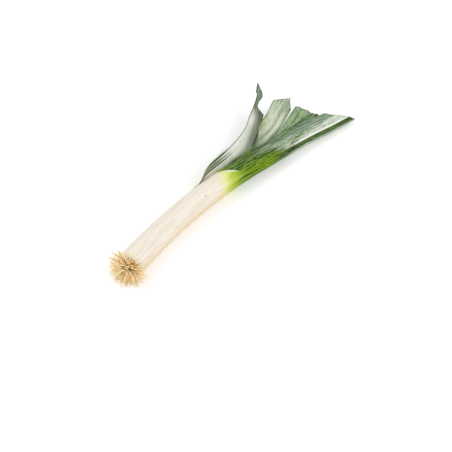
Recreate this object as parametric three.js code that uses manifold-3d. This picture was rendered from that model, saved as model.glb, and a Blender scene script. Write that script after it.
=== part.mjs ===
// A leek as it is sold: pulled, washed and with its leaf tips cut back, lying on its side on a table.
//
// It is built the way the plant is. A beard of roots grows out of a basal plate. Over the plate stands the
// shaft, the white and tightly wrapped part. At the collar the shaft parts into seven leaves. They stand in
// two ranks, one on each side, and each is folded along its keel with the younger leaves inside the fold.
// Leaf 1 is the oldest and outermost, leaf 7 the heart. Odd leaves have their keel on the far side, at +Y,
// and even ones on the near side, at -Y.
//
// Units are millimetres. While it is modelled, X runs from the basal plate, at X = 0, to the leaf tips, with
// the shaft's axis at Y = 0, and the table is the plane Z = 0. The whole is moved at the end so that its
// origin lies on the table under the middle of its bounding box. The shaft bends a little on its way, flat on
// the table, towards the near side.

import * as THREE from "three";
import { mergeVertices } from "three/addons/utils/BufferGeometryUtils.js";
import Module from "manifold-3d";

const wasm = await Module();
wasm.setup();

// Driving dimensions
const AXIS_HEIGHT = 16; // of the shaft above the table
const SHAFT_LENGTH = 186; // from the basal plate to where the leaves' bases stand on it
const BASE_GAP = 0.4; // between the shaft's end and the leaves' bases
const PLATE_GAP = 0.3; // between the basal plate and the shaft
const COLLAR = 212; // where the leaves begin to part, from the basal plate
const TIP = 426; // the furthest leaf tip, from the basal plate
const SHAFT_BEND = 13; // degrees by which the shaft bends, flat on the table, from its foot to the leaves
const FAN_ROLL = 7; // degrees by which the fan's far side has come up at its tip
const FAN_DROP = 4.9; // how far the fan's middle has sunk at its tip

// The shaft's outline: distance from the basal plate, and radius there. It swells to a slight bulb, which is
// pressed flat where it lies on the table.
const SHAFT_OUTLINE = [
  [0, 12.0],
  [1.6, 14.2],
  [4.5, 15.9],
  [10, 17.0],
  [18, 17.4],
  [30, 17.3],
  [45, 17.0],
  [60, 16.8],
  [80, 16.6],
  [100, 16.5],
  [120, 16.45],
  [140, 16.4],
  [155, 16.4],
  [170, 16.4],
  [SHAFT_LENGTH, 16.4],
];
const SHAFT_SIDES = 32;

// The roots, and the stump of the basal plate that they grow from
const PLATE_RADIUS = 11.5;
const PLATE_DEPTH = 11; // how far the stump stands out behind the shaft
const PLATE_SIDES = 18;
const PLATE_RINGS = 5;
const ROOT_COUNT = 130;
const ROOT_LENGTH = [13, 19];
const ROOT_RADIUS = [0.85, 0.45]; // where it leaves the stump, and at its tip
const ROOT_STEPS = 3;
const ROOT_SUNK = 2.5; // how deep it starts in the stump
const GOLDEN_ANGLE = Math.PI * (3 - Math.sqrt(5));

const LEAF_ROWS = 15;
const FLANK_COLUMNS = 6; // on each side of the keel
const EDGE_SHARE = 0.55; // a leaf's thickness at its margin, against that at its keel

// The leaves. A station gives, at a distance x from the basal plate:
//   out    how far the keel stands out from the shaft's axis, towards the leaf's own side
//   rise   how far it stands above the axis, before the fan settles
//   half   half the height of the fold
//   crease how sharply the keel is folded: 0 is a round tube, 90 a flat fold
//   up     the direction in which the upper flank ends: 180 closes a tube, 90 is level, 0 stands upright and
//          below 0 it has fallen open
//   low    the same for the lower flank
//   wideUp, wideLow   the width of each flank from the keel to the margin
//   thick  the blade's thickness
// foot and cut shape the leaf's two ends. Their pairs give a place across the leaf, from -1 at the lower
// margin over 0 at the keel to 1 at the upper margin, and how far the end stands back there.
const COLUMNS = ["x", "out", "rise", "half", "crease", "up", "low", "wideUp", "wideLow", "thick"];
const LEAVES = [
  {
    name: "leaf_1",
    side: 1,
    foot: [[-1, 30], [0, 0], [1, 26]],
    cut: [[-1, 38], [-0.17, 31], [0, 17], [0.83, 0], [1, 0]],
    stations: [
      [140, 17.3, 0, 17.3, 0, 90, 90, 15, 13, 0.9],
      [160, 17.3, 0, 17.3, 0, 24, 90, 16, 13, 0.9],
      [180, 17.3, 0, 17.3, 0, -8, 90, 20, 13, 1.0],
      [COLLAR, 17.8, 0, 16, 0, -24, 80, 23, 14, 1.1],
      [235, 20.5, 0, 13, 5, -28, 55, 22, 14, 1.1],
      [262, 27.5, 1, 10, 10, -30, 34, 20, 14.5, 1.0],
      [290, 39, 4, 8, 12, -38, 20, 17.5, 14, 0.9],
      [312, 53, 9, 7, 12, -56, 46, 13.5, 12, 0.9],
      [330, 67, 14, 6, 12, -64, 68, 8.5, 13, 0.85],
      [344, 71, 17, 3.5, 12, -68, 68, 13, 12, 0.8],
      [358, 83.5, 21, 3.5, 12, -70, 68, 11.5, 6, 0.8],
    ],
  },
  {
    name: "leaf_2",
    side: -1,
    foot: [[-1, 0], [1, 0]],
    cut: [[-1, 34], [0, 0], [1, 38]],
    stations: [
      [SHAFT_LENGTH + BASE_GAP, 15.1, 0, 15.1, 0, 172, 172, 41, 36, 1.4],
      [198, 15.2, 0, 15.2, 0, 152, 150, 40, 33, 1.4],
      [COLLAR, 15.8, 0, 15, 0, 124, 90, 38, 32, 1.4],
      [224, 16.7, 0, 14.8, 4, 106, 90, 36, 33, 1.3],
      [238, 18.2, 0, 13.7, 9, 96, 90, 34, 33, 1.2],
      [262, 21, 0, 11.4, 16, 90, 90, 31, 32, 1.0],
      [300, 24, 0, 9.3, 20, 90, 90, 30, 31, 0.9],
      [340, 27, -0.2, 8.8, 18, 90, 90, 32, 29, 0.9],
      [381, 32, -0.5, 7.8, 14, 90, 90, 33, 27, 0.85],
      [TIP, 37, -1, 5.5, 10, 90, 90, 31, 22, 0.85],
    ],
  },
  {
    name: "leaf_3",
    side: 1,
    foot: [[-1, 0], [1, 0]],
    cut: [[-1, 14], [0, 0], [1, 28]],
    stations: [
      [SHAFT_LENGTH + BASE_GAP, 13.1, 0, 13.1, 0, 172, 172, 32, 32, 1.3],
      [198, 13.1, 0, 13.1, 0, 150, 150, 28, 28, 1.3],
      [COLLAR, 13.1, 0, 12.7, 0, 90, 90, 20, 21, 1.2],
      [235, 16, 0, 10.9, 5, 80, 90, 16, 18, 1.1],
      [262, 19, 0, 9.8, 10, 36, 90, 17, 15, 1.0],
      [290, 22, 1, 8.6, 14, -14, 75, 23.5, 10.5, 0.9],
      [315, 26, 2, 7.6, 18, -38, 65, 25, 10, 0.9],
      [345, 36, 4, 6.2, 22, -54, 65, 26, 10, 0.9],
      [380, 49, 7, 5.6, 22, -62, 60, 25, 10, 0.85],
    ],
  },
  {
    name: "leaf_4",
    side: -1,
    foot: [[-1, 0], [1, 0]],
    cut: [[-1, 16], [0, 0], [1, 8]],
    stations: [
      [SHAFT_LENGTH + BASE_GAP, 11.1, 0, 11.1, 0, 172, 172, 28, 28, 1.4],
      [198, 11.1, 0, 11.1, 0, 150, 150, 25, 25, 1.3],
      [COLLAR, 11.6, 0, 10.9, 0, 90, 90, 18, 18, 1.3],
      [235, 14, 0, 9.8, 8, 90, 90, 23, 23, 1.1],
      [262, 16, 0, 8.2, 14, 90, 90, 28, 28, 1.0],
      [300, 18, 0, 6.7, 22, 90, 90, 30, 28, 0.9],
      [340, 20, 0, 6.2, 28, 90, 90, 31, 27, 0.9],
      [390, 23, -1, 5.8, 34, 90, 90, 32, 24, 0.85],
    ],
  },
  {
    name: "leaf_5",
    side: 1,
    foot: [[-1, 0], [1, 0]],
    cut: [[-1, 12], [0, 0], [1, 3]],
    stations: [
      [SHAFT_LENGTH + BASE_GAP, 9.1, 0, 9.1, 0, 172, 172, 22, 22, 1.3],
      [198, 9.1, 0, 9.1, 0, 150, 150, 20, 20, 1.3],
      [COLLAR, 9.1, 0, 8.9, 0, 90, 90, 14.5, 14.5, 1.2],
      [235, 10.5, 0, 8.1, 8, 90, 90, 18, 18, 1.0],
      [262, 11.5, 0, 6.7, 14, 90, 90, 21, 21, 0.9],
      [300, 13.5, 0, 5.3, 20, 90, 90, 25, 25, 0.85],
      [335, 22, 0, 4.6, 26, 90, 90, 28, 25, 0.85],
      [377, 36, 0, 4.1, 32, 90, 90, 30, 24, 0.8],
    ],
  },
  {
    name: "leaf_6",
    side: -1,
    foot: [[-1, 0], [1, 0]],
    cut: [[-1, 8], [0, 0], [1, 14]],
    stations: [
      [SHAFT_LENGTH + BASE_GAP, 7.1, 0, 7.1, 0, 172, 172, 17, 17, 1.2],
      [198, 7.1, 0, 7.1, 0, 150, 150, 15, 15, 1.2],
      [COLLAR, 7.6, 0, 6.9, 0, 90, 90, 11, 11, 1.2],
      [235, 9.5, 0, 6.4, 8, 90, 90, 14.5, 14.5, 1.0],
      [262, 11, 0, 5.2, 14, 90, 90, 18, 18, 0.9],
      [300, 12.5, 0, 4, 20, 90, 90, 20, 20, 0.8],
      [340, 14, 0, 3.2, 26, 90, 90, 21, 20, 0.8],
      [376, 17, 0, 2.7, 32, 90, 90, 20, 18, 0.8],
    ],
  },
  {
    name: "leaf_7",
    side: 1,
    foot: [[-1, 0], [1, 0]],
    cut: [[-1, 12], [0, 0], [1, 12]],
    stations: [
      [SHAFT_LENGTH + BASE_GAP, 5.1, 0, 5.1, 0, 172, 172, 12, 12, 1.2],
      [198, 5.1, 0, 5.1, 0, 150, 150, 10.5, 10.5, 1.2],
      [COLLAR, 5.1, 0, 4.9, 0, 90, 90, 8, 8, 1.2],
      [262, 5.5, 0, 3.7, 14, 90, 90, 11.5, 11.5, 0.9],
      [300, 6.5, 0, 2.6, 20, 90, 90, 14, 14, 0.75],
      [350, 10, 0, 1.9, 26, 90, 90, 15, 15, 0.7],
    ],
  },
];

const radians = THREE.MathUtils.degToRad;
const { lerp, clamp, smoothstep } = THREE.MathUtils;

// A seeded random number from 0 to 1, so that the roots grow the same way each time.
function seededRandom(seed) {
  let state = seed;
  return () => {
    state = (state * 1664525 + 1013904223) % 4294967296;
    return state / 4294967296;
  };
}

// The value of one column at x, on a smooth curve through the stations.
function valueAt(stations, column, x) {
  const k = COLUMNS.indexOf(column);
  const last = stations.length - 1;
  let i = 0;
  while (i < last - 1 && x > stations[i + 1][0]) i += 1;
  const slope = (n) => {
    const a = stations[Math.max(n - 1, 0)];
    const b = stations[Math.min(n + 1, last)];
    return (b[k] - a[k]) / (b[0] - a[0]);
  };
  const [from, to] = [stations[i], stations[i + 1]];
  const span = to[0] - from[0];
  const t = clamp((x - from[0]) / span, -0.2, 1.2);
  return (
    (2 * t ** 3 - 3 * t ** 2 + 1) * from[k] +
    (t ** 3 - 2 * t ** 2 + t) * span * slope(i) +
    (3 * t ** 2 - 2 * t ** 3) * to[k] +
    (t ** 3 - t ** 2) * span * slope(i + 1)
  );
}

// How far across and how far up from the keel a flank has come at a given distance along it. It leaves the
// keel at the angle crease from upright and turns evenly until it runs at the angle open.
function flankAt(distance, half, crease, open) {
  const turn = ((1 - Math.sin(crease)) / half) * Math.sign(open - crease);
  if (turn === 0) return [distance * Math.sin(open), distance * Math.cos(open)];
  const turning = Math.min(distance, (open - crease) / turn);
  const angle = crease + turn * turning;
  const straight = distance - turning;
  return [
    (Math.cos(crease) - Math.cos(angle)) / turn + straight * Math.sin(angle),
    (Math.sin(angle) - Math.sin(crease)) / turn + straight * Math.cos(angle),
  ];
}

// The fan settles: beyond the collar its far side comes up and its middle sinks. All leaves move together.
function settle(point) {
  const share = smoothstep(point.x, COLLAR - 20, TIP);
  const roll = radians(FAN_ROLL) * share;
  const height = point.z - AXIS_HEIGHT;
  return new THREE.Vector3(
    point.x,
    point.y * Math.cos(roll) - height * Math.sin(roll),
    AXIS_HEIGHT + point.y * Math.sin(roll) + height * Math.cos(roll) - FAN_DROP * share,
  );
}

// The bend of the shaft, an arc in the plane of the table. The leaves stand on its straight end.
function bend(point) {
  const radius = SHAFT_LENGTH / radians(SHAFT_BEND);
  const back = SHAFT_LENGTH - point.x;
  if (back <= 0) return point;
  const turn = Math.min(back / radius, radians(SHAFT_BEND));
  const beyond = back - turn * radius;
  return new THREE.Vector3(
    SHAFT_LENGTH - (radius + point.y) * Math.sin(turn) - beyond * Math.cos(turn),
    (radius + point.y) * Math.cos(turn) - radius - beyond * Math.sin(turn),
    point.z,
  );
}

function bendGeometry(geometry) {
  const position = geometry.attributes.position;
  const point = new THREE.Vector3();
  for (let i = 0; i < position.count; i += 1) {
    position.setXYZ(i, ...bend(point.fromBufferAttribute(position, i)));
  }
  return geometry;
}

// A point of a leaf's middle surface: x along it, and across from -1, the lower margin, to 1, the upper one.
function leafPoint(leaf, x, across) {
  const at = (column, where = x) => valueAt(leaf.stations, column, where);
  const keel = (where) =>
    new THREE.Vector3(where, leaf.side * at("out", where), AXIS_HEIGHT + at("rise", where));
  const step = 0.5;
  const tangent = keel(x + step).sub(keel(x - step)).normalize();
  const inward = new THREE.Vector3(0, -leaf.side, 0);
  inward.addScaledVector(tangent, -inward.dot(tangent)).normalize();
  const upward = new THREE.Vector3().crossVectors(inward, tangent).multiplyScalar(leaf.side);
  const upper = across > 0;
  const [inwards, upwards] = flankAt(
    Math.abs(across) * at(upper ? "wideUp" : "wideLow"),
    at("half"),
    radians(at("crease")),
    radians(at(upper ? "up" : "low")),
  );
  const point = keel(x)
    .addScaledVector(inward, inwards)
    .addScaledVector(upward, upper ? upwards : -upwards);
  return bend(settle(point));
}

// A closed geometry from a face grid, its copy on the other side, and a rim round both.
function closedSheet(front, back) {
  const rows = front.length;
  const columns = front[0].length;
  const positions = [...front.flat(), ...back.flat()].flatMap((p) => [p.x, p.y, p.z]);
  const frontIndex = (i, j) => i * columns + j;
  const backIndex = (i, j) => rows * columns + i * columns + j;
  const triangles = [];
  const quad = (a, b, c, d) => triangles.push(a, b, c, a, c, d);
  for (let i = 0; i < rows - 1; i += 1) {
    for (let j = 0; j < columns - 1; j += 1) {
      const corners = [[i, j], [i + 1, j], [i + 1, j + 1], [i, j + 1]];
      const [a, b, c, d] = corners.map(([r, s]) => frontIndex(r, s));
      const [e, f, g, h] = corners.map(([r, s]) => backIndex(r, s));
      triangles.push(a, b, c, a, c, d);
      triangles.push(e, g, f, e, h, g);
    }
  }
  const rim = [];
  for (let i = 0; i < rows - 1; i += 1) rim.push([i, 0]);
  for (let j = 0; j < columns - 1; j += 1) rim.push([rows - 1, j]);
  for (let i = rows - 1; i > 0; i -= 1) rim.push([i, columns - 1]);
  for (let j = columns - 1; j > 0; j -= 1) rim.push([0, j]);
  rim.forEach(([i, j], n) => {
    const [k, l] = rim[(n + 1) % rim.length];
    quad(frontIndex(k, l), frontIndex(i, j), backIndex(i, j), backIndex(k, l));
  });
  const geometry = new THREE.BufferGeometry();
  geometry.setAttribute("position", new THREE.Float32BufferAttribute(positions, 3));
  geometry.setIndex(triangles);
  return geometry;
}

// The value at a place on the straight lines between pairs of a place and a value.
function between(pairs, place) {
  const n = Math.max(pairs.findIndex(([start]) => start >= place), 1);
  const [[from, first], [to, second]] = [pairs[n - 1], pairs[n]];
  return lerp(first, second, (place - from) / (to - from));
}

// A leaf as one closed solid: its middle surface, thickened along its normals and thinner at the margins.
function leafGeometry(leaf) {
  const { stations, foot, cut, side } = leaf;
  const start = stations[0][0];
  const tip = stations[stations.length - 1][0];
  const outer = [];
  const inner = [];
  for (let i = 0; i <= LEAF_ROWS; i += 1) {
    const outerRow = [];
    const innerRow = [];
    for (let j = -FLANK_COLUMNS; j <= FLANK_COLUMNS; j += 1) {
      const across = j / FLANK_COLUMNS;
      const x = lerp(start + between(foot, across), tip - between(cut, across), i / LEAF_ROWS);
      const [dx, da] = [0.6, 0.02];
      const along = leafPoint(leaf, x + dx, across).sub(leafPoint(leaf, x - dx, across));
      const sideways = leafPoint(leaf, x, Math.min(across + da, 1)).sub(
        leafPoint(leaf, x, Math.max(across - da, -1)),
      );
      const normal = new THREE.Vector3().crossVectors(along, sideways).normalize();
      const thick = valueAt(stations, "thick", x) * lerp(1, EDGE_SHARE, across ** 4);
      const middle = leafPoint(leaf, x, across);
      const outwards = (side * thick) / 2;
      outerRow.push(middle.clone().addScaledVector(normal, outwards));
      innerRow.push(middle.clone().addScaledVector(normal, -outwards));
    }
    outer.push(outerRow);
    inner.push(innerRow);
  }
  return side > 0 ? closedSheet(outer, inner) : closedSheet(inner, outer);
}

// Joins and cuts work on closed solids, and the result comes back as a geometry.
function toSolid(geometry) {
  const bare = geometry.clone();
  bare.deleteAttribute("normal");
  bare.deleteAttribute("uv");
  const merged = mergeVertices(bare, 1e-4);
  return new wasm.Manifold(
    new wasm.Mesh({
      numProp: 3,
      vertProperties: new Float32Array(merged.attributes.position.array),
      triVerts: new Uint32Array(merged.index.array),
    }),
  );
}

function toGeometry(solid) {
  const mesh = solid.getMesh();
  const geometry = new THREE.BufferGeometry();
  geometry.setAttribute("position", new THREE.Float32BufferAttribute(mesh.vertProperties, 3));
  geometry.setIndex(new THREE.Uint32BufferAttribute(mesh.triVerts, 1));
  return geometry;
}

// The shaft: a turned form, laid along X, and pressed flat where it meets the table.
function shaftGeometry() {
  const profile = [
    new THREE.Vector2(0, 0),
    ...SHAFT_OUTLINE.map(([x, radius]) => new THREE.Vector2(radius, x)),
    new THREE.Vector2(0, SHAFT_LENGTH),
  ];
  const geometry = new THREE.LatheGeometry(profile, SHAFT_SIDES);
  geometry.rotateZ(-Math.PI / 2);
  geometry.translate(0, 0, AXIS_HEIGHT);
  const position = geometry.attributes.position;
  for (let i = 0; i < position.count; i += 1) {
    position.setZ(i, Math.max(position.getZ(i), 0));
  }
  return bendGeometry(geometry);
}

// The stump of the basal plate: half an ellipsoid behind the shaft.
function stumpGeometry() {
  const profile = [new THREE.Vector2(0, -PLATE_DEPTH)];
  for (let i = 1; i <= PLATE_RINGS; i += 1) {
    const angle = (i / PLATE_RINGS) * (Math.PI / 2);
    const depth = lerp(PLATE_GAP, PLATE_DEPTH, Math.cos(angle));
    profile.push(new THREE.Vector2(PLATE_RADIUS * Math.sin(angle), -depth));
  }
  profile.push(new THREE.Vector2(0, -PLATE_GAP));
  const geometry = new THREE.LatheGeometry(profile, PLATE_SIDES);
  geometry.rotateZ(-Math.PI / 2);
  geometry.translate(0, 0, AXIS_HEIGHT);
  return geometry;
}

// The line of one root. The roots stand on the stump in a spiral: those at its end lean backwards, and those
// at its rim stand out sideways. Those that meet the table run on along it.
function rootLine(number, random) {
  const rim = 0.97 * Math.sqrt((number + 0.5) / ROOT_COUNT);
  const around = number * GOLDEN_ANGLE;
  let point = new THREE.Vector3(
    -lerp(PLATE_GAP, PLATE_DEPTH, Math.sqrt(1 - rim ** 2)),
    PLATE_RADIUS * rim * Math.cos(around),
    AXIS_HEIGHT + PLATE_RADIUS * rim * Math.sin(around),
  );
  const length = lerp(...ROOT_LENGTH, random());
  let lean = radians(lerp(30, 100, rim) + lerp(-6, 6, random()));
  let heading = around + radians(lerp(-6, 6, random()));
  const curl = radians(lerp(-16, 12, random()));
  const swing = radians(lerp(-12, 12, random()));
  const direction = () =>
    new THREE.Vector3(
      -Math.cos(lean),
      Math.sin(lean) * Math.cos(heading),
      Math.sin(lean) * Math.sin(heading),
    );
  const inside = point.clone().addScaledVector(direction(), -ROOT_SUNK);
  inside.x = Math.min(inside.x, -PLATE_GAP - ROOT_RADIUS[0]);
  const points = [inside];
  for (let i = 1; i <= ROOT_STEPS; i += 1) {
    const step = direction().multiplyScalar(length / ROOT_STEPS);
    const lowest = lerp(...ROOT_RADIUS, i / ROOT_STEPS);
    const below = Math.max(lowest - point.z - step.z, 0);
    step.z += below;
    step.y += Math.sign(Math.cos(heading)) * below * 0.6;
    step.x -= below * 0.4;
    point = point.clone().add(step);
    points.push(point);
    lean += curl;
    heading += swing;
  }
  return points;
}

// A root as a three-sided tube that narrows to its tip.
function rootGeometry(points) {
  const sides = 3;
  const rings = points.map((point, i) => {
    const before = points[Math.max(i - 1, 0)];
    const after = points[Math.min(i + 1, points.length - 1)];
    const tangent = after.clone().sub(before).normalize();
    const across = new THREE.Vector3().crossVectors(tangent, new THREE.Vector3(1, 0, 0));
    if (across.length() < 0.2) across.crossVectors(tangent, new THREE.Vector3(0, 1, 0));
    across.normalize();
    const other = new THREE.Vector3().crossVectors(tangent, across);
    const radius = lerp(...ROOT_RADIUS, i / (points.length - 1));
    return Array.from({ length: sides }, (_, k) => {
      const angle = (k / sides) * 2 * Math.PI;
      return point
        .clone()
        .addScaledVector(across, radius * Math.cos(angle))
        .addScaledVector(other, radius * Math.sin(angle));
    });
  });
  const triangles = [];
  for (let i = 0; i < rings.length - 1; i += 1) {
    for (let k = 0; k < sides; k += 1) {
      const [a, b] = [i * sides + k, i * sides + ((k + 1) % sides)];
      triangles.push(a, b, b + sides, a, b + sides, a + sides);
    }
  }
  const last = (rings.length - 1) * sides;
  triangles.push(0, 2, 1, last, last + 1, last + 2);
  const geometry = new THREE.BufferGeometry();
  const positions = rings.flat().flatMap((p) => [p.x, p.y, p.z]);
  geometry.setAttribute("position", new THREE.Float32BufferAttribute(positions, 3));
  geometry.setIndex(triangles);
  return geometry;
}

function rootsGeometry() {
  const random = seededRandom(7);
  const solids = [toSolid(stumpGeometry())];
  for (let i = 0; i < ROOT_COUNT; i += 1) {
    solids.push(toSolid(rootGeometry(rootLine(i, random))));
  }
  return bendGeometry(toGeometry(wasm.Manifold.union(solids)));
}

// Materials, with the colours of the real thing
const rootStraw = new THREE.MeshStandardMaterial({ color: 0xe3c890, roughness: 0.85, metalness: 0 });
const shaftWhite = new THREE.MeshStandardMaterial({ color: 0xf4ecdf, roughness: 0.4, metalness: 0 });
const leafGreen = new THREE.MeshStandardMaterial({ color: 0x4d7a3a, roughness: 0.5, metalness: 0 });
const leafPale = new THREE.MeshStandardMaterial({ color: 0xa9b89a, roughness: 0.6, metalness: 0 });

function piece(name, geometry, material) {
  const mesh = new THREE.Mesh(geometry, material);
  mesh.name = name;
  return mesh;
}

const plant = new THREE.Group();
plant.add(piece("roots", rootsGeometry(), rootStraw));
plant.add(piece("shaft", shaftGeometry(), shaftWhite));
for (const leaf of LEAVES) {
  const material = ["leaf_1", "leaf_3"].includes(leaf.name) ? leafPale : leafGreen;
  plant.add(piece(leaf.name, leafGeometry(leaf), material));
}

// The origin lies on the table, under the middle of the bounding box.
const box = new THREE.Box3().setFromObject(plant, true);
plant.position.set(-(box.min.x + box.max.x) / 2, -(box.min.y + box.max.y) / 2, 0);

const leek = new THREE.Group();
leek.add(plant);
export default leek;
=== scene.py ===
import bpy
import math
import numpy as np
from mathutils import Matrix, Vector


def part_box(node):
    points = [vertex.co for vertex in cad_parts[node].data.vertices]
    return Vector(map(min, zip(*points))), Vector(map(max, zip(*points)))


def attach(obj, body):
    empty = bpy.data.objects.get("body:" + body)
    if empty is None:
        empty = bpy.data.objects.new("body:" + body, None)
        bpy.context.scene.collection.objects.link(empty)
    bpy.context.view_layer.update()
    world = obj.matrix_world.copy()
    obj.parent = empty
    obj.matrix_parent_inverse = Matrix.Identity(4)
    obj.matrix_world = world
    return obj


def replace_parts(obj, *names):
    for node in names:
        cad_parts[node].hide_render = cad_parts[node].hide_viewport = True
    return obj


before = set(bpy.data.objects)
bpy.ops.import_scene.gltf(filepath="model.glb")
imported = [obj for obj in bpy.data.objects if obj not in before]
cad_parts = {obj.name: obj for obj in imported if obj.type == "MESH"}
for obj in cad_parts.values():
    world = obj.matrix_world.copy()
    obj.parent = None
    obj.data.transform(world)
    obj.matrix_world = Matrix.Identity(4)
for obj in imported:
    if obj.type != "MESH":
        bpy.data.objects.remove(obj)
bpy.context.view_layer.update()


# The table and the light.
# A white table top that runs out of the picture, lit as in a studio: two large soft lights, one from the left
# and one from the front right, and white surroundings.
class Value:
    """A socket of a finish, on which the usual operators work. Each operator adds the node that it needs."""

    def __init__(self, finish, socket):
        self.finish = finish
        self.socket = socket

    def work(self, operation, *parts):
        wide = any(
            isinstance(part, tuple) or (isinstance(part, Value) and part.socket.type != "VALUE")
            for part in parts
        )
        kind = "ShaderNodeVectorMath" if wide else "ShaderNodeMath"
        if wide:
            parts = [(part,) * 3 if isinstance(part, (int, float)) else part for part in parts]
        return self.finish.add(kind, {"operation": operation}, dict(enumerate(parts)))

    def __add__(self, other):
        return self.work("ADD", self, other)

    def __radd__(self, other):
        return self.work("ADD", other, self)

    def __sub__(self, other):
        return self.work("SUBTRACT", self, other)

    def __rsub__(self, other):
        return self.work("SUBTRACT", other, self)

    def __mul__(self, other):
        return self.work("MULTIPLY", self, other)

    def __rmul__(self, other):
        return self.work("MULTIPLY", other, self)

    def __truediv__(self, other):
        return self.work("DIVIDE", self, other)

    def __rtruediv__(self, other):
        return self.work("DIVIDE", other, self)

    def __pow__(self, other):
        return self.work("POWER", self, other)

    def sine(self):
        return self.work("SINE", self)

    def size(self):
        return self.work("ABSOLUTE", self)

    def at_least(self, low):
        return self.work("MAXIMUM", self, low)

    def between(self, low, high):
        """0 at low, 1 at high, smooth between them and even beyond. Low may be the greater."""
        settings = {"interpolation_type": "SMOOTHSTEP"}
        return self.finish.add("ShaderNodeMapRange", settings, {0: self, 1: low, 2: high})

    def blend(self, first, second):
        """The colour first where this value is 0, and second where it is 1."""
        settings = {"data_type": "RGBA", "clamp_factor": True}
        return self.finish.add("ShaderNodeMix", settings, {0: self, 6: first, 7: second}, 2)


class Finish:
    """A material. add puts in one node: its type, its settings, and the values or links of its sockets."""

    def __init__(self, name, **constants):
        self.material = bpy.data.materials.new(name)
        self.material.use_nodes = True
        self.tree = self.material.node_tree
        self.shader = self.tree.nodes["Principled BSDF"]
        for socket, value in constants.items():
            self.shader.inputs[socket.replace("_", " ")].default_value = value

    def add(self, kind, settings=None, sockets=None, output=0):
        node = self.tree.nodes.new(kind)
        for name, value in (settings or {}).items():
            setattr(node, name, value)
        for name, value in (sockets or {}).items():
            self.join(value, node.inputs[name])
        return Value(self, node.outputs[output])

    def join(self, value, socket):
        if isinstance(value, Value):
            self.tree.links.new(value.socket, socket)
        else:
            socket.default_value = value

    def feed(self, **sockets):
        for name, value in sockets.items():
            self.join(value, self.shader.inputs[name.replace("_", " ")])
        return self.material

    def noise(self, where, scale, detail=3.0, roughness=0.5):
        sockets = {"Vector": where, "Scale": scale, "Detail": detail, "Roughness": roughness}
        return self.add("ShaderNodeTexNoise", {}, sockets)

    def bumps(self, height, strength, distance):
        sockets = {"Height": height, "Strength": strength, "Distance": distance}
        return self.add("ShaderNodeBump", {}, sockets)


TABLE_SIZE = 6.0
TABLE_WHITE = (0.8, 0.8, 0.805, 1)
TABLE_GLOW = 0.24
table_mesh = bpy.data.meshes.new("table_top")
half_table = TABLE_SIZE / 2
table_corners = [(-half_table, -half_table, 0), (half_table, -half_table, 0),
                 (half_table, half_table, 0), (-half_table, half_table, 0)]
table_mesh.from_pydata(table_corners, [], [(0, 1, 2, 3)])
table_top = bpy.data.objects.new("table_top", table_mesh)
bpy.context.scene.collection.objects.link(table_top)
table_white = Finish("table_white", Roughness=0.6, Base_Color=TABLE_WHITE, Emission_Color=(1, 1, 1, 1),
                     Emission_Strength=TABLE_GLOW)
table_mesh.materials.append(table_white.material)

SURROUND_WHITE = (1.0, 1.0, 1.0, 1)
SURROUND_STRENGTH = 0.74
world = bpy.data.worlds.new("white_surroundings")
world.use_nodes = True
world.node_tree.nodes["Background"].inputs["Color"].default_value = SURROUND_WHITE
world.node_tree.nodes["Background"].inputs["Strength"].default_value = SURROUND_STRENGTH
bpy.context.scene.world = world
bpy.context.scene.view_settings.view_transform = "Standard"


def soft_light(name, place, size, power, aim):
    lamp = bpy.data.lights.new(name, "AREA")
    lamp.shape = "SQUARE"
    lamp.size = size
    lamp.energy = power
    holder = bpy.data.objects.new(name, lamp)
    holder.location = place
    holder.rotation_euler = (Vector(aim) - Vector(place)).to_track_quat("-Z", "Y").to_euler()
    bpy.context.scene.collection.objects.link(holder)


# Places are given from the middle of the leek: to the picture's right, away from the camera, and up.
VIEW_AZIMUTH = math.radians(-46.3)
VIEW_ELEVATION = math.radians(45)
picture_right = Vector((math.cos(VIEW_AZIMUTH), math.sin(VIEW_AZIMUTH), 0))
picture_away = Vector((-math.sin(VIEW_AZIMUTH), math.cos(VIEW_AZIMUTH), 0))


def in_picture(right, away, height):
    return picture_right * right + picture_away * away + Vector((0, 0, height))


soft_light("key_light", in_picture(-1.25, 0.1, 1.5), 0.8, 10, (0, 0, 0))
soft_light("fill_light", in_picture(1.1, -0.95, 1.35), 0.9, 13, (0, 0, 0))


# The camera.
# It stands where the photograph was taken from: high up beside the roots' end, and it looks slantwise over
# the leek towards its leaves.
MM = 0.001
SHAFT_LENGTH = 186
SHAFT_RADIUS = 16.4
shaft_low, shaft_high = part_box("shaft")
plant_shift = Vector((shaft_high.x - SHAFT_LENGTH * MM, shaft_high.y - SHAFT_RADIUS * MM, 0))

VIEW_DISTANCE = 1.5
VIEW_LENS = 93
FILM_WIDTH = 36
FURTHEST_SEEN = 20
VIEW_AIM = Vector((133.8, -59.5, 16)) * MM + plant_shift
camera_data = bpy.data.cameras.new("camera")
camera_data.lens = VIEW_LENS
camera_data.sensor_width = FILM_WIDTH
camera_data.clip_end = FURTHEST_SEEN
camera = bpy.data.objects.new("camera", camera_data)
view_back = Vector((
    math.sin(VIEW_AZIMUTH) * math.cos(VIEW_ELEVATION),
    -math.cos(VIEW_AZIMUTH) * math.cos(VIEW_ELEVATION),
    math.sin(VIEW_ELEVATION),
))
camera.location = VIEW_AIM + view_back * VIEW_DISTANCE
camera.rotation_euler = (-view_back).to_track_quat("-Z", "Y").to_euler()
bpy.context.scene.collection.objects.link(camera)
bpy.context.scene.camera = camera


# The outer leaf.
# The second leaf of the plant. Its foot is the closed white sheath that makes the shaft's outside, and above
# the collar it opens into the big green leaf on the near side, folded along its keel.
AXIS_HEIGHT = 16
COLLAR = 212
TIP = 426
SHAFT_BEND = math.radians(13)
FAN_ROLL = math.radians(7)
FAN_DROP = 4.9
TABLE_CLEARANCE = 0.02

COLUMNS = ("x", "out", "rise", "half", "crease", "up", "low", "wide_up", "wide_low", "thick")


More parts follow.
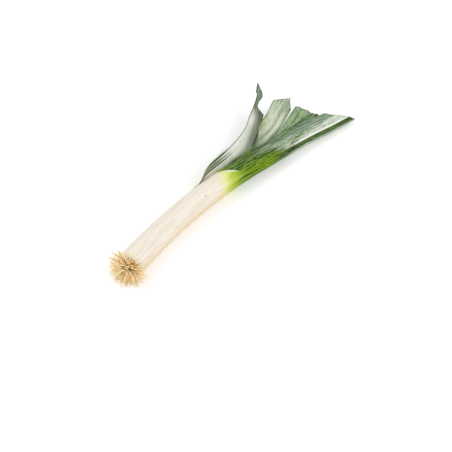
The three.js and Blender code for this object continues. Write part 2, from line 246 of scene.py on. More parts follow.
def smooth_share(value, low, high):
    t = np.clip((value - low) / (high - low), 0, 1)
    return t * t * (3 - 2 * t)


def station_value(stations, column, x):
    """One column of a table of stations at the distances x, on a smooth curve through them."""
    table = np.array(stations, float)
    places = table[:, 0]
    values = table[:, COLUMNS.index(column)]
    last = len(places) - 1
    before = np.maximum(np.arange(last + 1) - 1, 0)
    after = np.minimum(np.arange(last + 1) + 1, last)
    slopes = (values[after] - values[before]) / (places[after] - places[before])
    i = np.clip(np.searchsorted(places, x, side="left") - 1, 0, last - 1)
    span = places[i + 1] - places[i]
    t = np.clip((x - places[i]) / span, -0.2, 1.2)
    return (
        (2 * t**3 - 3 * t**2 + 1) * values[i]
        + (t**3 - 2 * t**2 + t) * span * slopes[i]
        + (3 * t**2 - 2 * t**3) * values[i + 1]
        + (t**3 - t**2) * span * slopes[i + 1]
    )


def flank(distance, half, crease, opening):
    """How far inwards and upwards from the keel a flank has come at a distance along it."""
    turn = (1 - np.sin(crease)) / half * np.sign(opening - crease)
    turn = np.where(np.abs(turn) < 1e-6, 1e-6, turn)
    turning = np.minimum(distance, (opening - crease) / turn)
    angle = crease + turn * turning
    straight = distance - turning
    inwards = (np.cos(crease) - np.cos(angle)) / turn + straight * np.sin(angle)
    upwards = (np.sin(angle) - np.sin(crease)) / turn + straight * np.cos(angle)
    return inwards, upwards


def settle(points):
    """The fan's far side comes up towards its tip, and its middle sinks."""
    share = smooth_share(points[..., 0], COLLAR - 20, TIP)
    roll = FAN_ROLL * share
    y = points[..., 1]
    height = points[..., 2] - AXIS_HEIGHT
    moved = points.copy()
    moved[..., 1] = y * np.cos(roll) - height * np.sin(roll)
    moved[..., 2] = AXIS_HEIGHT + y * np.sin(roll) + height * np.cos(roll) - FAN_DROP * share
    return moved


def bend(points):
    """The shaft's bend, an arc in the plane of the table."""
    radius = SHAFT_LENGTH / SHAFT_BEND
    back = SHAFT_LENGTH - points[..., 0]
    turn = np.clip(back / radius, 0, SHAFT_BEND)
    beyond = np.maximum(back - turn * radius, 0)
    y = points[..., 1]
    moved = points.copy()
    bent_x = SHAFT_LENGTH - (radius + y) * np.sin(turn) - beyond * np.cos(turn)
    moved[..., 0] = np.where(back > 0, bent_x, points[..., 0])
    moved[..., 1] = np.where(back > 0, (radius + y) * np.cos(turn) - radius - beyond * np.sin(turn), y)
    return moved


def unit(vectors):
    return vectors / np.maximum(np.linalg.norm(vectors, axis=-1, keepdims=True), 1e-9)


def keel_frame(stations, side, x):
    """The keel's points, and the directions into the fold and up, at the distances x."""
    def keel(where):
        out = station_value(stations, "out", where)
        rise = station_value(stations, "rise", where)
        return np.stack([where, side * out, AXIS_HEIGHT + rise], -1)

    tangent = unit(keel(x + 0.5) - keel(x - 0.5))
    tangent = np.where((x < SHAFT_LENGTH)[..., None], (1.0, 0.0, 0.0), tangent)
    inward = np.zeros_like(tangent)
    inward[..., 1] = -side
    inward = unit(inward - tangent * np.sum(inward * tangent, -1, keepdims=True))
    upward = np.cross(inward, tangent) * side
    return keel(x), inward, upward


def waves(seed, count):
    """Seeded lengths, heights and places for a sum of uneven waves."""
    draw = np.random.RandomState(seed)
    return draw.uniform(0.6, 1.7, count), draw.uniform(0.4, 1.0, count), draw.uniform(0, 2 * math.pi, count)


def uneven(value, length, seed, count=5):
    """A sum of uneven waves of about the given length, from about -1 to 1."""
    stretches, heights, starts = waves(seed, count)
    total = sum(h * np.sin(2 * math.pi * value / (length * s) + p)
                for s, h, p in zip(stretches, heights, starts))
    return total / np.sum(heights) * 1.6


class Leaf:
    """A leaf's sheet: points on a grid along the leaf and across it, thickened to a closed mesh."""

    RIB_HEIGHT = 0.09
    EDGE_SHARE = 0.5  # the thickness at the margin, against that at the keel

    def __init__(self, name, side, stations, ends, starts=(0, 0), rows=120, columns=90, seed=1):
        self.name = name
        self.side = side
        self.stations = stations
        self.seed = seed
        across = np.linspace(-1, 1, columns + 1)[None, :]
        along = np.linspace(0, 1, rows + 1)[:, None]
        size = np.abs(across)
        upper = across > 0
        foot = stations[0][0] + np.where(upper, starts[0], starts[1]) * size
        tip = stations[-1][0] - np.where(upper, ends[0], ends[1]) * size
        tip = tip + self.cut_edge(across)
        self.tip = tip
        self.x = foot + (tip - foot) * along
        self.across = across + 0 * along
        self.upper = upper & np.ones_like(self.x, bool)

    def cut_edge(self, across):
        """How far the cut end's uneven teeth stand out across the leaf, below 0 where they stand back."""
        return 1.1 * uneven(across, 0.35, self.seed + 3) + 0.5 * uneven(across, 0.09, self.seed + 4) - 0.8

    def value(self, column):
        return station_value(self.stations, column, self.x)

    def flank_value(self, upper_column, lower_column):
        return np.where(self.upper, self.value(upper_column), self.value(lower_column))

    def middle(self):
        keel, inward, upward = keel_frame(self.stations, self.side, self.x)
        opening = self.flank_value("up", "low")
        self.distance = np.abs(self.across) * self.flank_value("wide_up", "wide_low")
        inwards, upwards = flank(
            self.distance, self.value("half"), np.radians(self.value("crease")), np.radians(opening)
        )
        upwards = np.where(self.upper, upwards, -upwards)
        points = keel + inward * inwards[..., None] + upward * upwards[..., None]
        return bend(settle(points))

    def sheets(self):
        """The outer and the inner face, with fine ribs along the leaf and thinner margins."""
        middle = self.middle()
        along = np.gradient(middle, axis=0)
        sideways = np.gradient(middle, axis=1)
        normal = unit(np.cross(along, sideways)) * -self.side
        self.reach = np.where(self.upper, self.distance, -self.distance)
        self.edge = np.minimum(self.flank_value("wide_up", "wide_low") - self.distance, self.tip - self.x)
        blade = smooth_share(self.x, COLLAR - 20, COLLAR + 10)
        share = 1 - (1 - self.EDGE_SHARE) * blade * np.abs(self.across) ** 5
        thick = self.value("thick") * share
        ribs = uneven(self.reach, 2.7, self.seed) + 0.5 * uneven(self.reach, 1.5, self.seed + 1)
        relief = self.RIB_HEIGHT * ribs
        ripple = 0.35 * np.abs(self.across) ** 3 * uneven(self.x, 38, self.seed + 2) * blade
        centre = middle + normal * (relief * 0.5 + ripple)[..., None]
        outer = centre + normal * (thick / 2 + relief * 0.5)[..., None]
        inner = centre - normal * (thick / 2)[..., None]
        return above_table(outer), above_table(inner)

    def build(self, finish, slot):
        """The leaf as a piece: its two faces, and a rim round them."""
        outer, inner = self.sheets()
        rows, columns = outer.shape[:2]
        count = rows * columns
        number = np.arange(count).reshape(rows, columns)
        a, b = number[:-1, :-1], number[1:, :-1]
        c, d = number[1:, 1:], number[:-1, 1:]
        front = np.stack([a, b, c, d], -1).reshape(-1, 4)
        back = np.stack([d, c, b, a], -1).reshape(-1, 4) + count
        rim = np.concatenate([number[:-1, 0], number[-1, :-1], number[:0:-1, -1], number[0, :0:-1]])
        following = np.roll(rim, -1)
        edge = np.stack([following, rim, rim + count, following + count], -1)
        if self.side > 0:
            front, back, edge = front[:, ::-1], back[:, ::-1], edge[:, ::-1]
        points = np.concatenate([outer.reshape(-1, 3), inner.reshape(-1, 3)])
        faces = np.concatenate([front, back, edge])
        grain = np.stack([self.x, self.reach, np.ones_like(self.x)], -1).reshape(-1, 3)
        inner_grain = grain * (1, 1, -1)
        edge_distance = self.edge.reshape(-1)
        return leek_piece(self.name, points, faces.tolist(), finish, {
            "grain": np.concatenate([grain, inner_grain]),
            "edge": np.concatenate([edge_distance, edge_distance]),
        })


def above_table(points):
    """The points, with those that would reach into the table laid on it."""
    points[..., 2] = np.maximum(points[..., 2], TABLE_CLEARANCE)
    return points


def leek_piece(name, points, faces, finish, attributes):
    """A mesh object in the leek's place. Its points come in millimetres, before the leek is moved there."""
    mesh = bpy.data.meshes.new(name)
    place = np.asarray(points, float) * MM + np.array(plant_shift)
    mesh.from_pydata(place.tolist(), [], faces)
    for attribute, values in attributes.items():
        values = np.asarray(values, np.float32)
        if values.ndim == 1:
            mesh.attributes.new(attribute, "FLOAT", "POINT").data.foreach_set("value", values)
        else:
            mesh.attributes.new(attribute, "FLOAT_VECTOR", "POINT").data.foreach_set("vector", values.ravel())
    mesh.shade_smooth()
    mesh.materials.append(finish)
    piece = bpy.data.objects.new(name, mesh)
    bpy.context.scene.collection.objects.link(piece)
    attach(piece, "root")
    return piece


def colour(red, green, blue):
    """A colour as it is seen, from 0 to 255, turned into the light that a shader works in."""
    def light(level):
        level = level / 255
        return level / 12.92 if level <= 0.04045 else ((level + 0.055) / 1.055) ** 2.4
    return (light(red), light(green), light(blue), 1)


SHEATH_WHITE = colour(237, 229, 217)
SHEATH_PEACH = colour(226, 212, 192)
PALE_LEMON = colour(226, 226, 146)
LEMON = colour(180, 196, 70)
YELLOW_GREEN = colour(134, 162, 42)
DARK_GREEN = colour(42, 66, 18)
WAX = colour(214, 220, 206)
TEAL_WAX = colour(158, 180, 150)
DEEP_TEAL = colour(52, 84, 66)
SPECK_BROWN = colour(120, 84, 50)


class LeafFinish(Finish):
    """Leek leaf. Its foot is white, then come lemon and green, all in streaks that run along the leaf."""

    def __init__(self, name, seed, start=155):
        super().__init__(name, Roughness=0.5, Specular_IOR_Level=0.16)
        self.seed = seed
        grain = self.add("ShaderNodeAttribute", {"attribute_name": "grain"}, {}, 1)
        parts = self.add("ShaderNodeSeparateXYZ", {}, {0: grain}).socket.node
        self.along = Value(self, parts.outputs[0])
        self.reach = Value(self, parts.outputs[1])
        self.face = Value(self, parts.outputs[2])
        self.edge = self.add("ShaderNodeAttribute", {"attribute_name": "edge"}, {}, 2)
        self.broad = self.streaks(110, 5.0, 0.0)
        self.fine = self.streaks(46, 2.6, 7.3)
        self.hair = self.streaks(28, 0.8, 13.1, 2.0)
        self.dashes = self.streaks(8, 1.9, 17.9)
        self.patches = self.streaks(20, 5.5, 21.7, 4.0)
        self.vein = (self.reach * 2.6 + self.broad * 6).sine().between(0.4, 0.95)
        wander = (self.fine - 0.5) * 30 + (self.broad - 0.5) * 24
        self.ripe = self.along - self.reach.size() * 0.8 + wander + (155 - start)
        self.blade = self.ripe.between(205, 245)

    def streaks(self, length, width, offset, detail=3.0):
        where = self.add("ShaderNodeCombineXYZ", {}, {
            0: self.along / length, 1: self.reach / width, 2: self.seed + offset,
        })
        return self.noise(where, 1.0, detail, 0.62)

    def foot(self, green):
        """White, lemon and yellow-green at the leaf's foot, and the given green beyond."""
        white = self.fine.between(0.35, 0.75).blend(SHEATH_WHITE, SHEATH_PEACH)
        paler = self.ripe.between(158, 178).blend(white, PALE_LEMON)
        lemon = self.ripe.between(172, 190).blend(paler, LEMON)
        yellow = self.ripe.between(187, 206).blend(lemon, YELLOW_GREEN)
        return self.ripe.between(198, 222).blend(yellow, green)

    def streaked(self, light, dark, contrast=1.0):
        """Light and dark streaks of two widths, between thin darker veins."""
        streak = self.fine.between(0.46, 0.58) * 0.6 + self.dashes.between(0.45, 0.62) * 0.4
        ground = (streak * contrast).blend(light, dark)
        return (self.vein * 0.4 * contrast).blend(ground, dark)

    def waxed(self, ground, wax, amount):
        return (amount * self.hair.between(0.2, 0.65)).blend(ground, wax)

    def paint(self, outside, inside, relief=0.0):
        """Finish both faces, with a thin dark rim, raised streaks, sunk veins and any further relief."""
        both = self.face.between(-0.2, 0.2).blend(inside, outside)
        rim = self.edge.between(2.1, 0.5) * self.blade
        painted = (rim * 0.7).blend(both, DARK_GREEN)
        height = self.fine * 0.6 + self.dashes * 0.2 + self.hair * 0.2 - self.vein * 0.25 + relief
        return self.feed(
            Base_Color=painted,
            Roughness=0.36 + 0.2 * self.broad + 0.12 * self.hair,
            Normal=self.bumps(height, 0.9, 0.0009),
        )


SHEATH_OUTLINE = (
    (0, 12.0), (1.6, 14.2), (4.5, 15.9), (10, 17.0), (18, 17.4), (30, 17.3), (45, 17.0), (60, 16.8),
    (80, 16.6), (100, 16.5), (120, 16.45), (140, SHAFT_RADIUS), (155, SHAFT_RADIUS), (170, SHAFT_RADIUS),
    (SHAFT_LENGTH, SHAFT_RADIUS),
)
SHEATH_THICK = 1.5


def sheath_station(x, radius):
    middle = radius - SHEATH_THICK / 2
    return (x, middle, 0, middle, 0, 180, 180, math.pi * middle, math.pi * middle, SHEATH_THICK)


OUTER_LEAF = [sheath_station(x, radius) for x, radius in SHEATH_OUTLINE] + [
    (198, 15.6, 0, 15.5, 0, 152, 130, 42, 39, 1.5),
    (COLLAR, 15.8, 0, 15.2, 0, 124, 98, 38, 35, 1.4),
    (224, 16.7, 0, 14.8, 4, 106, 90, 36, 33, 1.3),
    (238, 18.2, 0, 13.7, 9, 96, 90, 34, 33, 1.2),
    (262, 21, 0, 11.4, 16, 90, 90, 31, 32, 1.0),
    (300, 24, 0, 9.3, 20, 90, 90, 30, 31, 0.9),
    (340, 27, -0.2, 8.8, 18, 90, 90, 32, 29, 0.9),
    (381, 32, -0.5, 7.8, 14, 90, 90, 33, 27, 0.85),
    (TIP, 37, -1, 5.5, 10, 90, 90, 31, 22, 0.85),
]
outer_green = LeafFinish("outer_leaf_green", 2.0)
along = outer_green.along
reach = outer_green.reach

# Where the leaf leaves the shaft, the sheath ends in a slanting line, with green above it.
mouth_line = (166.8 - along * 0.72).at_least(13)
mouth_side = (reach - mouth_line) / (1 + along.between(206, 230) * 7)
above_mouth = mouth_side.between(0.2, 1.4) * along.between(187, 191)
outer_green.ripe = outer_green.ripe + above_mouth * 34
ripe = outer_green.ripe

# Fresh green by the collar, greyer and paler green beyond it.
fresh_low = outer_green.streaked(colour(116, 150, 8), colour(28, 56, 0), 1.3)
fresh_high = outer_green.streaked(colour(106, 138, 62), colour(22, 46, 6), 1.25)
flecks = outer_green.streaks(5, 2.6, 29.3).between(0.6, 0.68) * outer_green.broad.between(0.4, 0.55)
fresh = (flecks * 0.7).blend(reach.between(9, 20).blend(fresh_low, fresh_high), colour(186, 208, 96))
mature = outer_green.streaked(colour(142, 168, 124), colour(24, 52, 12))
outer_ground = (ripe + reach.between(4, 13) * 50).between(300, 345).blend(fresh, mature)

# Wax in streaks and in one round bloom, and a bluer margin. It is rubbed off in streaks and on a worn patch.
bare_streaks = outer_green.streaks(14, 1.7, 41.9).between(0.47, 0.6)
wax_streaks = (outer_green.fine.between(0.56, 0.47) * 0.3 + outer_green.patches.between(0.46, 0.58) * 0.4
               + ripe.between(345, 385) * 0.4)
wax_band = reach.between(6.5, 8.5) * ripe.between(272, 290) * (1 - bare_streaks * 0.8) * wax_streaks
bloom = (((along - 298) / 17) ** 2 + ((reach - 14.5) / 5) ** 2).between(1.3, 0.3)
waxed = outer_green.waxed(outer_ground, WAX, wax_band + bloom * (1 - bare_streaks * 0.5) * 0.45)
teal_margin = reach.between(18, 25) * ripe.between(250, 290)
margined = (teal_margin * 0.85).blend(waxed, outer_green.streaked(TEAL_WAX, DEEP_TEAL))
worn = (((along - 322) / 20) ** 2 + ((reach - 15.5) / 4.5) ** 2).between(1.3, 0.4)
scuffed = (worn * outer_green.dashes.between(0.44, 0.54) * 0.8).blend(margined, colour(84, 96, 34))

# The fold along the keel: painted shade where it turns under, painted light bounced from the table on the
# flank below it, and above it a bright line and a pale band of painted highlight.
TURN_UNDER = 8
# Painted shade: the strip where the fold turns under is painted dark green.
fold_nose_shade = reach.between(TURN_UNDER + 0.5, TURN_UNDER - 1) * ripe.between(250, 290)
fold_nose_shaded = fold_nose_shade.blend(scuffed, outer_green.streaked(colour(92, 120, 62), colour(20, 44, 8)))
# Painted light: the flank below the fold is painted paler grey-green, as if lit by light bounced up from the
# table.
table_bounce_light = reach.between(3, 1) * ripe.between(275, 320)
bounce_lit_green = outer_green.streaked(colour(186, 196, 172), colour(120, 138, 104))
bounce_lit = (table_bounce_light * 0.85).blend(fold_nose_shaded, bounce_lit_green)
# Painted highlight: a pale band above the fold that widens towards the tip and is weaker where the wax is
# rubbed off, and a bright line along the fold.
above_fold = reach.between(TURN_UNDER - 0.4, TURN_UNDER + 0.4)
highlight_edge = (reach - 8.6 - (along - 285) * 0.115).between(2, -2.5)
highlight_band = highlight_edge * above_fold * ripe.between(285, 325) * (1 - bare_streaks * 0.6)
highlight_banded = (highlight_band * 0.7).blend(bounce_lit, colour(226, 229, 220))
fold_highlight_line = above_fold * reach.between(10.6, 9.2) * ripe.between(285, 320)
outer_leaf_face = (fold_highlight_line * 0.75).blend(highlight_banded, colour(244, 247, 238))

# The white sheath: its underside painted in warm shade, as if lit by bounced light, with one brown speck and
# the thin white margin of its mouth.
warm_underside_shade = reach.between(9, -6) * reach.between(-48, -24) * along.between(195, 175) * 0.85
underside_shaded = warm_underside_shade.blend(outer_green.foot(outer_leaf_face), colour(222, 200, 156))
speck = ((along - 146).size() + (reach - 13.9).size() * 1.5).between(1.6, 0.7)
membrane = mouth_side.size().between(1.7, 0.5) * along.between(189, 198) * along.between(211, 202)
specked = membrane.blend(speck.blend(underside_shaded, SPECK_BROWN), colour(252, 252, 246))
inner_face = outer_green.foot(outer_green.streaked(colour(190, 200, 174), colour(134, 154, 116)))

outer_leaf = Leaf("outer_leaf", -1, OUTER_LEAF, ends=(38, 34), rows=230, columns=140, seed=11)
outer_finish = outer_green.paint(specked, inner_face, membrane * 1.2)
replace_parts(outer_leaf.build(outer_finish, "leaf_green"), "shaft", "leaf_2")


# The inner leaves of the fan.
# The next leaves of the plant, one inside the other, with their keels on the near and the far side in turn.
# Each is a thin ribbed blade that grows on from its own sheath inside the shaft, and its tip is cut off.
BASE_GAP = 0.4
BASE = SHAFT_LENGTH + BASE_GAP


def wrapped_foot(radius, foot_width, neck_width, foot_thick, neck_thick):
    """A fan leaf's two lowest stations: a nearly closed ring at its foot, and a more open one above it."""
    return [
        (BASE, radius, 0, radius, 0, 172, 172, foot_width, foot_width, foot_thick),
        (198, radius, 0, radius, 0, 150, 150, neck_width, neck_width, neck_thick),
    ]


FAN_LEAVES = {
    "leaf_3": dict(side=1, ends=(28, 14), stations=wrapped_foot(13.1, 32, 28, 1.3, 1.3) + [
        (COLLAR, 13.1, 0, 12.7, 0, 90, 90, 20, 21, 1.2),
        (235, 16, 0, 10.9, 5, 80, 90, 16, 18, 1.1),
        (262, 19, 0, 9.8, 10, 36, 90, 17, 15, 1.0),
        (290, 22, 1, 8.6, 14, -14, 75, 23.5, 10.5, 0.9),
        (315, 26, 2, 7.6, 18, -38, 65, 25, 10, 0.9),
        (345, 36, 4, 6.2, 22, -54, 65, 26, 10, 0.9),
        (380, 49, 7, 5.6, 22, -62, 60, 25, 10, 0.85),
    ]),
    "leaf_4": dict(side=-1, ends=(8, 16), stations=wrapped_foot(11.1, 28, 25, 1.4, 1.3) + [
        (COLLAR, 11.6, 0, 10.9, 0, 90, 90, 18, 18, 1.3),
        (235, 14, 0, 9.8, 8, 90, 90, 23, 23, 1.1),
        (262, 16, 0, 8.2, 14, 90, 90, 28, 28, 1.0),
        (300, 18, 0, 6.7, 22, 90, 90, 30, 28, 0.9),
        (340, 20, 0, 6.2, 28, 90, 90, 31, 27, 0.9),
        (390, 23, -1, 5.8, 34, 90, 90, 32, 24, 0.85),
    ]),
    "leaf_5": dict(side=1, ends=(3, 12), stations=wrapped_foot(9.1, 22, 20, 1.3, 1.3) + [
        (COLLAR, 9.1, 0, 8.9, 0, 90, 90, 14.5, 14.5, 1.2),
        (235, 10.5, 0, 8.1, 8, 90, 90, 18, 18, 1.0),
        (262, 11.5, 0, 6.7, 14, 90, 90, 21, 21, 0.9),
        (300, 13.5, 0, 5.3, 20, 90, 90, 25, 25, 0.85),
        (335, 22, 0, 4.6, 26, 90, 90, 28, 25, 0.85),
        (377, 36, 0, 4.1, 32, 90, 90, 30, 24, 0.8),
    ]),
    "leaf_6": dict(side=-1, ends=(14, 8), stations=wrapped_foot(7.1, 17, 15, 1.2, 1.2) + [
        (COLLAR, 7.6, 0, 6.9, 0, 90, 90, 11, 11, 1.2),
        (235, 9.5, 0, 6.4, 8, 90, 90, 14.5, 14.5, 1.0),
        (262, 11, 0, 5.2, 14, 90, 90, 18, 18, 0.9),
        (300, 12.5, 0, 4, 20, 90, 90, 20, 20, 0.8),
        (340, 14, 0, 3.2, 26, 90, 90, 21, 20, 0.8),
        (376, 17, 0, 2.7, 32, 90, 90, 20, 18, 0.8),
    ]),
    "leaf_7": dict(side=1, ends=(12, 12), stations=wrapped_foot(5.1, 12, 10.5, 1.2, 1.2) + [
        (COLLAR, 5.1, 0, 4.9, 0, 90, 90, 8, 8, 1.2),
        (262, 5.5, 0, 3.7, 14, 90, 90, 11.5, 11.5, 0.9),
        (300, 6.5, 0, 2.6, 20, 90, 90, 14, 14, 0.75),
        (350, 10, 0, 1.9, 26, 90, 90, 15, 15, 0.7),
    ]),
}


def fan_outside(finish, light, dark, wax):
    """A fan leaf's green outer face with patches of wax."""
    fresh = finish.streaked(colour(122, 152, 48), colour(28, 54, 4))
    ground = finish.ripe.between(240, 280).blend(fresh, finish.streaked(light, dark))
    patches = finish.patches.between(0.45, 0.62) * finish.ripe.between(240, 300) * wax
    return finish.foot(finish.waxed(ground, TEAL_WAX, patches))


def fan_green(name, seed, light, dark, wax, start=155):
    """A fan leaf's green outside, and its duller inside with a few yellow-green flecks."""
    finish = LeafFinish(name, seed, start)
    inside = finish.streaked(colour(164, 180, 146), colour(106, 128, 84))
    flecks = finish.patches.between(0.62, 0.7) * finish.broad.between(0.5, 0.6) * 0.5
    return finish.paint(
        fan_outside(finish, light, dark, wax), finish.foot(flecks.blend(inside, YELLOW_GREEN)))


strap_pale = LeafFinish("strap_leaf_pale", 5.0, start=140)
strap_low = strap_pale.streaked(colour(160, 176, 138), colour(86, 110, 60))
# Painted shade: a lit and a shaded copy of the same pale green, with the shaded one towards the tip.
strap_lit = strap_pale.streaked(colour(222, 228, 206), colour(148, 164, 128))
strap_tip_shade = strap_pale.streaked(colour(198, 207, 182), colour(128, 144, 110))
strap_blade = strap_pale.along.between(322, 362).blend(strap_lit, strap_tip_shade)
strap_ground = (strap_pale.along.between(288, 268) * 0.8).blend(strap_blade, strap_low)
# Painted highlight: a pale stripe along the keel.
crest_highlight = (strap_pale.reach.between(-8, -4) * strap_pale.reach.between(2, -1)
         * strap_pale.along.between(284, 300) * strap_pale.along.between(362, 335))
crest_highlighted = (crest_highlight * 0.75).blend(strap_ground, colour(242, 245, 230))
strap_flecks = (strap_pale.reach.between(13, 18) * strap_pale.along.between(280, 288)
                * strap_pale.along.between(326, 312) * strap_pale.patches.between(0.44, 0.54))
strap_inside = strap_pale.foot((strap_flecks * 0.6).blend(crest_highlighted, YELLOW_GREEN))
FAN_FINISHES = {
    "leaf_3": ("leaf_pale", strap_pale.paint(
        fan_outside(strap_pale, colour(110, 138, 84), DARK_GREEN, 0.5), strap_inside)),
    "leaf_4": ("leaf_green", fan_green(
        "second_leaf_green", 9.0, colour(130, 164, 112), colour(30, 60, 22), 0.4, start=130)),
    "leaf_5": ("leaf_green", fan_green(
        "third_leaf_green", 14.0, colour(160, 186, 142), colour(52, 82, 38), 0.7, start=140)),
    "leaf_6": ("leaf_green", fan_green(
        "fourth_leaf_green", 19.0, colour(120, 150, 76), colour(70, 100, 40), 0.5, start=160)),
    "leaf_7": ("leaf_green", fan_green(
        "heart_leaf_green", 23.0, colour(150, 174, 88), colour(96, 128, 50), 0.3, start=175)),
}
for number, (name, shape) in enumerate(FAN_LEAVES.items()):
    slot, finish = FAN_FINISHES[name]
    leaf = Leaf(name + "_blade", rows=130, columns=90, seed=30 + 7 * number, **shape)
    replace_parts(leaf.build(finish, slot), name)


# The loose leaf.
# The oldest leaf, outside the sheath on the far side. It has fallen away from the others, and its end is torn
# along the veins into a long point and a short one.
LOOSE_LEAF = [
    (140, 17.3, 0, 17.3, 0, 90, 90, 15, 13, 0.9),
    (160, 17.3, 0, 17.3, 0, 24, 90, 16, 13, 0.9),
    (180, 17.3, 0, 17.3, 0, -8, 90, 20, 13, 1.0),
    (COLLAR, 17.8, 0, 16, 0, -24, 80, 23, 14, 1.1),
    (235, 20.5, 0, 13, 5, -28, 55, 22, 14, 1.1),
    (262, 27.5, 1, 10, 10, -30, 34, 20, 14.5, 1.0),
    (290, 39, 4, 8, 12, -38, 20, 17.5, 14, 0.9),
    (312, 53, 9, 7, 12, -56, 46, 13.5, 12, 0.9),
    (330, 67, 14, 6, 12, -64, 68, 8.5, 13, 0.85),
    (344, 71, 17, 3.5, 12, -68, 68, 13, 12, 0.8),
    (358, 83.5, 21, 3.5, 12, -70, 68, 11.5, 6, 0.8),
]
LOOSE_END = ((-1, 38), (-0.06, 31), (0, 17), (0.88, 0), (1, 0))


class TornLeaf(Leaf):
    """A leaf whose end stands back in steps, as it was torn."""

    def cut_edge(self, across):
        places, backs = zip(*LOOSE_END)
        return super().cut_edge(across) * 0.6 - np.interp(across, places, backs)


loose_pale = LeafFinish("loose_leaf_pale", 31.0, start=136)
loose_outside = loose_pale.foot(loose_pale.streaked(colour(150, 166, 134), colour(78, 102, 62)))

# Its inside turns green lower down than its outside.
loose_pale.ripe = loose_pale.ripe + 40
loose_ground = loose_pale.streaked(colour(255, 255, 248), colour(204, 210, 184), 0.6)
# Painted shade: dark green lines in the creases near the foot, and darker green towards the margin there.
margin_half = loose_pale.reach.between(6, 11) * loose_pale.along.between(244, 216)
crease_shade = (loose_pale.reach * 1.5 + loose_pale.broad * 5).sine().between(-0.1, 0.5) * margin_half
margin_shade = loose_pale.reach.between(9, 15) * loose_pale.along.between(228, 196) * 0.6
crease_shaded = margin_shade.blend(crease_shade.blend(loose_ground, colour(72, 94, 40)), colour(60, 88, 32))
# Painted light: the flank that turns away from the lamps is painted pale, against its shade.
shaded_flank = loose_pale.reach.between(-1, -6) * loose_pale.along.between(275, 296)
flank_painted_light = loose_pale.streaked(colour(240, 244, 230), colour(190, 199, 176))
loose_flank_lit = shaded_flank.blend(crease_shaded, flank_painted_light)
# Painted shadow: a thin dark line in the gap beside the strap leaf.
gap_shadow_line = loose_pale.reach.between(-9, -11) * loose_pale.along.between(262, 276)
loose_gap_shadowed = (gap_shadow_line * 0.85).blend(loose_flank_lit, colour(44, 62, 20))
# Painted shade: the long point, folded away from the light, is painted dark grey-green.
point_shade = loose_pale.along.between(300, 324)
loose_inside = point_shade.blend(loose_gap_shadowed, loose_pale.streaked(colour(152, 165, 140), colour(72, 88, 62)))
loose_leaf = TornLeaf(
    "loose_leaf", 1, LOOSE_LEAF, ends=(0, 0), starts=(26, 30), rows=150, columns=90, seed=71)
loose_finish = loose_pale.paint(loose_outside, loose_pale.foot(loose_inside))
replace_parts(loose_leaf.build(loose_finish, "leaf_pale"), "leaf_1")


# The roots.
# A beard of fleshy straw-coloured roots round the stump of the basal plate. They stand out on all sides, curl
# a little, and lie along the table below.
STUMP_RADIUS = 11.5
STUMP_DEPTH = 11
STUMP_GAP = 0.3
STUMP_SIDES = 48
STUMP_RINGS = 15
ROOT_COUNT = 250
ROOT_LENGTH = (12, 21)
ROOT_RADIUS = (0.85, 0.32)
ROOT_SUNK = 2
ROOT_SIDES = 6
ROOT_STEPS = 12
GOLDEN_ANGLE = math.pi * (3 - math.sqrt(5))


def ring_faces(rings, sides):
    """The faces between rings of points, and a cap on the first and on the last ring."""
    faces = []
    for i in range(rings - 1):
        for k in range(sides):
            n = (k + 1) % sides
            faces.append((i * sides + k, i * sides + n, (i + 1) * sides + n, (i + 1) * sides + k))
    last = (rings - 1) * sides
    return faces + [tuple(range(last, last + sides)), tuple(range(sides))[::-1]]


def stump_mesh():
    """Half a lumpy ellipsoid behind the shaft."""
    depth_angle = np.linspace(0, math.pi / 2, STUMP_RINGS + 1)[1:, None]
    turn = np.linspace(0, 2 * math.pi, STUMP_SIDES, endpoint=False)[None, :]
    lumps = 1 + 0.04 * uneven(turn * 8 + depth_angle * 3, 2.0, 91)
    x = -(STUMP_GAP + (STUMP_DEPTH - STUMP_GAP) * np.cos(depth_angle)) + 0 * turn
    y = STUMP_RADIUS * np.sin(depth_angle) * np.cos(turn) * lumps
    z = AXIS_HEIGHT + STUMP_RADIUS * np.sin(depth_angle) * np.sin(turn) * lumps
    return np.stack([x, y, z], -1).reshape(-1, 3), ring_faces(STUMP_RINGS, STUMP_SIDES)


def root_radius(share):
    """A root's radius at a share of its length, as it narrows."""
    return ROOT_RADIUS[0] + (ROOT_RADIUS[1] - ROOT_RADIUS[0]) * share


def root_line(number, draw):
    """One root's points. The roots stand in a spiral: backwards at the stump's end, sideways at its rim."""
    rim = 0.98 * math.sqrt((number + 0.5) / ROOT_COUNT)
    around = number * GOLDEN_ANGLE
    depth = STUMP_GAP + (STUMP_DEPTH - STUMP_GAP) * math.sqrt(1 - rim**2)
    point = np.array([
        -depth,
        STUMP_RADIUS * rim * math.cos(around),
        AXIS_HEIGHT + STUMP_RADIUS * rim * math.sin(around),
    ])
    length = draw.uniform(*ROOT_LENGTH)
    lean = math.radians(30 + 70 * rim + draw.uniform(-14, 14))
    heading = around + math.radians(draw.uniform(-14, 14))
    curl = math.radians(draw.uniform(-50, 34)) / ROOT_STEPS
    swing = math.radians(draw.uniform(-50, 50)) / ROOT_STEPS
    wiggle = draw.uniform(0, 2 * math.pi)

    def direction():
        return np.array([
            -math.cos(lean), math.sin(lean) * math.cos(heading), math.sin(lean) * math.sin(heading)
        ])

    points = [point - direction() * ROOT_SUNK]
    for step in range(ROOT_STEPS):
        stride = direction() * length / ROOT_STEPS
        share = (step + 1) / ROOT_STEPS
        lowest = root_radius(share) + 0.05
        below = max(lowest - point[2] - stride[2], 0)
        stride += np.array([-0.4, 0.6 * math.copysign(1, math.cos(heading)), 1]) * below
        point = point + stride
        points.append(point)
        lean += curl + 0.10 * math.sin(wiggle + step * 0.9)
        heading += swing + 0.10 * math.cos(wiggle + step * 1.1)
    return np.array(points)


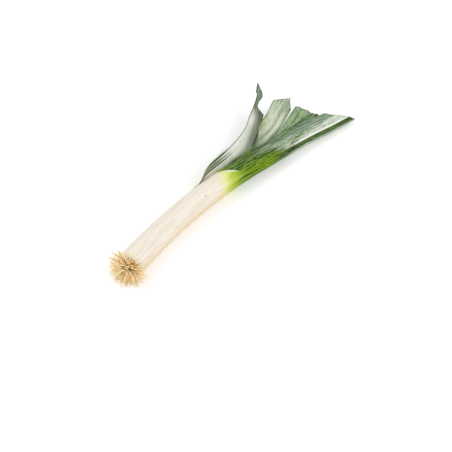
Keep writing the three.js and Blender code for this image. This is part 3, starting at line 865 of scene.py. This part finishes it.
def root_tube(points, thick):
    """A tube round a root's line. It narrows to a blunt tip."""
    tangent = unit(np.gradient(points, axis=0))
    across = unit(np.cross(tangent, (0.13, 0.31, 0.94)))
    other = np.cross(tangent, across)
    share = np.linspace(0, 1, len(points))
    radius = thick * root_radius(share**1.3)
    radius[-1] *= 0.45
    turn = np.linspace(0, 2 * math.pi, ROOT_SIDES, endpoint=False)
    ring = across[:, None] * np.cos(turn)[None, :, None] + other[:, None] * np.sin(turn)[None, :, None]
    tube = (points[:, None] + ring * radius[:, None, None]).reshape(-1, 3)
    return above_table(tube), ring_faces(len(points), ROOT_SIDES), np.repeat(share, ROOT_SIDES)


def root_finish():
    finish = Finish("root_straw", Roughness=0.75)
    share = finish.add("ShaderNodeAttribute", {"attribute_name": "share"}, {}, 2)
    tint = finish.add("ShaderNodeAttribute", {"attribute_name": "tint"}, {}, 2)
    place = finish.add("ShaderNodeTexCoord", {}, {}, 3)
    mottle = finish.noise(place, 900, 3.0)
    base = tint.blend(colour(255, 242, 206), colour(246, 212, 146))
    brown = colour(128, 72, 16)
    # The roots are painted brown towards the stump: painted shade in the gaps between the crowded roots, and
    # the stump's own brown.
    base_shade_and_brown = (1 - share.between(0.0, 0.32)) * 0.9
    darkened = base_shade_and_brown.blend(base, brown)
    painted = (mottle.between(0.5, 0.75) * 0.3).blend(darkened, colour(196, 142, 70))
    return finish.feed(Base_Color=painted, Normal=finish.bumps(mottle, 0.4, 0.0004))


def beard_mesh():
    """The points and faces of stump and roots, each point's share of its root's length, and its tint."""
    draw = np.random.RandomState(5)
    stump_points, faces = stump_mesh()
    points = [stump_points]
    shares = [np.zeros(len(stump_points))]
    tints = [np.ones(len(stump_points))]
    count = len(stump_points)
    for number in range(ROOT_COUNT):
        tube, tube_faces, share = root_tube(root_line(number, draw), draw.uniform(0.75, 1.1))
        points.append(tube)
        faces.extend(tuple(corner + count for corner in face) for face in tube_faces)
        shares.append(share)
        tints.append(np.full(len(tube), draw.uniform(0, 1)))
        count += len(tube)
    return bend(np.concatenate(points)), faces, np.concatenate(shares), np.concatenate(tints)


beard_points, beard_faces, beard_share, beard_tint = beard_mesh()
beard = {"share": beard_share, "tint": beard_tint}
root_beard = leek_piece("root_beard", beard_points, beard_faces, root_finish(), beard)
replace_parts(root_beard, "roots")
